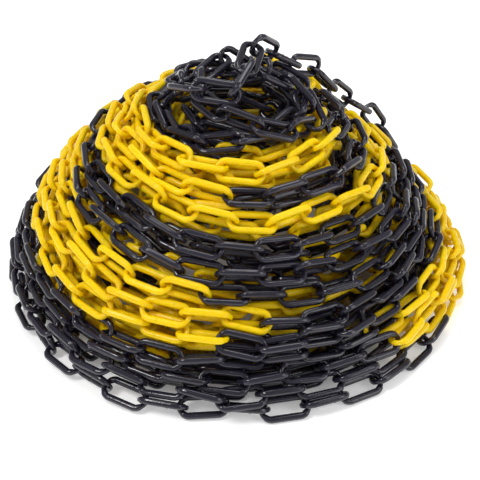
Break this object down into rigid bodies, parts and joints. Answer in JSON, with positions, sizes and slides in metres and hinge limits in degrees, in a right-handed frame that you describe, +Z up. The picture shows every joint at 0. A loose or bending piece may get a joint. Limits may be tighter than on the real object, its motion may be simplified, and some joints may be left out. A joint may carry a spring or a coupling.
{
  "type": "plastic barrier chain",
  "caption": "Long plastic barrier chain of cut-cornered oval links in black and yellow runs, coiled up into a domed heap with two free ends.",
  "frame": {"origin": "on the floor, under the middle of the heap with its loose ends", "axes": "+Z up, the side the heap is seen from towards -Y, +X to the right from there"},
  "size_m": [0.5274, 0.5528, 0.2719],
  "materials": {
    "black_plastic": "glossy moulded polyethylene, black",
    "yellow_plastic": "satin gloss moulded polyethylene, signal yellow"
  },
  "bodies": {
    "coiled_heap": {"chain_run_01_black": "black_plastic", "chain_run_02_yellow": "yellow_plastic", "chain_run_03_black": "black_plastic", "chain_run_04_yellow": "yellow_plastic", "chain_run_05_black": "black_plastic", "chain_run_06_yellow": "yellow_plastic", "chain_run_07_black": "black_plastic", "chain_run_08_black": "black_plastic", "chain_run_09_yellow": "yellow_plastic", "chain_run_10_black": "black_plastic", "chain_run_11_yellow": "yellow_plastic", "chain_run_12_black": "black_plastic", "chain_run_13_yellow": "yellow_plastic", "chain_run_14_black": "black_plastic", "chain_run_15_yellow": "yellow_plastic", "chain_run_16_black": "black_plastic", "chain_run_17_black": "black_plastic", "chain_run_18_yellow": "yellow_plastic", "chain_run_19_black": "black_plastic", "chain_run_20_yellow": "yellow_plastic", "chain_run_21_black": "black_plastic", "chain_run_22_yellow": "yellow_plastic", "chain_run_23_black": "black_plastic", "chain_run_24_yellow": "yellow_plastic", "chain_run_25_black": "black_plastic", "chain_run_26_yellow": "yellow_plastic", "chain_run_27_black": "black_plastic", "chain_run_28_yellow": "yellow_plastic", "chain_run_29_black": "black_plastic", "chain_run_30_yellow": "yellow_plastic", "chain_run_31_black": "black_plastic", "chain_run_32_yellow": "yellow_plastic", "chain_run_33_black": "black_plastic", "chain_run_34_black": "black_plastic", "chain_run_35_yellow": "yellow_plastic", "chain_run_36_black": "black_plastic", "chain_run_37_yellow": "yellow_plastic", "chain_run_38_black": "black_plastic", "chain_run_39_yellow": "yellow_plastic", "chain_run_40_black": "black_plastic", "chain_run_41_yellow": "yellow_plastic", "chain_run_42_black": "black_plastic", "chain_run_43_yellow": "yellow_plastic", "chain_run_44_black": "black_plastic"},
    "top_end_link_01": {"top_end_link_01": "black_plastic"},
    "top_end_link_02": {"top_end_link_02": "black_plastic"},
    "top_end_link_03": {"top_end_link_03": "black_plastic"},
    "top_end_link_04": {"top_end_link_04": "black_plastic"},
    "top_end_link_05": {"top_end_link_05": "black_plastic"},
    "top_end_link_06": {"top_end_link_06": "black_plastic"},
    "top_end_link_07": {"top_end_link_07": "black_plastic"},
    "top_end_link_08": {"top_end_link_08": "black_plastic"},
    "top_end_link_09": {"top_end_link_09": "black_plastic"},
    "floor_end_link_07": {"floor_end_link_07": "black_plastic"},
    "floor_end_link_06": {"floor_end_link_06": "black_plastic"},
    "floor_end_link_05": {"floor_end_link_05": "black_plastic"},
    "floor_end_link_04": {"floor_end_link_04": "black_plastic"},
    "floor_end_link_03": {"floor_end_link_03": "black_plastic"},
    "floor_end_link_02": {"floor_end_link_02": "black_plastic"},
    "floor_end_link_01": {"floor_end_link_01": "black_plastic"}
  },
  "joints": [
    {"name": "top_end_pivot_01", "type": "hinge", "parent": "coiled_heap", "child": "top_end_link_01", "pos_m": [0.01344, -0.02404, 0.2534], "axis": [0.4074, -0.4472, 0.7962], "range_deg": [0, 15]},
    {"name": "top_end_pivot_02", "type": "hinge", "parent": "top_end_link_01", "child": "top_end_link_02", "pos_m": [0.01723, 0.0043, 0.25931], "axis": [0.9481, -0.1562, -0.2768], "range_deg": [0, 50]},
    {"name": "top_end_pivot_03", "type": "hinge", "parent": "top_end_link_02", "child": "top_end_link_03", "pos_m": [0.03379, 0.02294, 0.24141], "axis": [0.6367, -0.7701, 0.0397], "range_deg": [0, 50]},
    {"name": "top_end_pivot_04", "type": "hinge", "parent": "top_end_link_03", "child": "top_end_link_04", "pos_m": [0.06397, 0.04653, 0.21505], "axis": [0.6367, -0.7701, 0.0397], "range_deg": [0, 12]},
    {"name": "top_end_pivot_05", "type": "hinge", "parent": "top_end_link_04", "child": "top_end_link_05", "pos_m": [0.08247, 0.0635, 0.20198], "axis": [0.6144, -0.7838, 0.0906], "range_deg": [0, 50]},
    {"name": "top_end_pivot_06", "type": "hinge", "parent": "top_end_link_05", "child": "top_end_link_06", "pos_m": [0.10825, 0.07964, 0.1668], "axis": [0.6144, -0.7838, 0.0906], "range_deg": [0, 50]},
    {"name": "top_end_pivot_07", "type": "hinge", "parent": "top_end_link_06", "child": "top_end_link_07", "pos_m": [0.12685, 0.09728, 0.14454], "axis": [0.6236, -0.7815, 0.0188], "range_deg": [0, 50]},
    {"name": "top_end_pivot_08", "type": "hinge", "parent": "top_end_link_07", "child": "top_end_link_08", "pos_m": [0.15575, 0.11965, 0.11579], "axis": [0.6236, -0.7815, 0.0188], "range_deg": [0, 50]},
    {"name": "top_end_pivot_09", "type": "hinge", "parent": "top_end_link_08", "child": "top_end_link_09", "pos_m": [0.17326, 0.13047, 0.08817], "axis": [0.5628, -0.8167, 0.1273], "range_deg": [0, 50]},
    {"name": "floor_end_pivot_07", "type": "hinge", "parent": "coiled_heap", "child": "floor_end_link_07", "pos_m": [-0.18831, 0.15304, 0.01343], "axis": [0.0041, 0.0005, 1], "range_deg": [0, 60]},
    {"name": "floor_end_pivot_06", "type": "hinge", "parent": "floor_end_link_07", "child": "floor_end_link_06", "pos_m": [-0.16769, 0.17944, 0.01394], "axis": [-0.0062, 0.0023, 1], "range_deg": [0, 60]},
    {"name": "floor_end_pivot_05", "type": "hinge", "parent": "floor_end_link_06", "child": "floor_end_link_05", "pos_m": [-0.13363, 0.2111, 0.01408], "axis": [-0.0062, 0.0023, 1], "range_deg": [0, 60]},
    {"name": "floor_end_pivot_04", "type": "hinge", "parent": "floor_end_link_05", "child": "floor_end_link_04", "pos_m": [-0.10619, 0.23052, 0.01408], "axis": [0, 0, 1], "range_deg": [0, 60]},
    {"name": "floor_end_pivot_03", "type": "hinge", "parent": "floor_end_link_04", "child": "floor_end_link_03", "pos_m": [-0.07037, 0.24852, 0.01408], "axis": [0.2712, -0.9625, 0], "range_deg": [0, 60]},
    {"name": "floor_end_pivot_02", "type": "hinge", "parent": "floor_end_link_03", "child": "floor_end_link_02", "pos_m": [-0.03196, 0.26001, 0.01408], "axis": [0, 0, 1], "range_deg": [0, 60]},
    {"name": "floor_end_pivot_01", "type": "hinge", "parent": "floor_end_link_02", "child": "floor_end_link_01", "pos_m": [0.00794, 0.26392, 0.01408], "axis": [-0.109, -0.994, 0], "range_deg": [0, 60]}
  ]
}
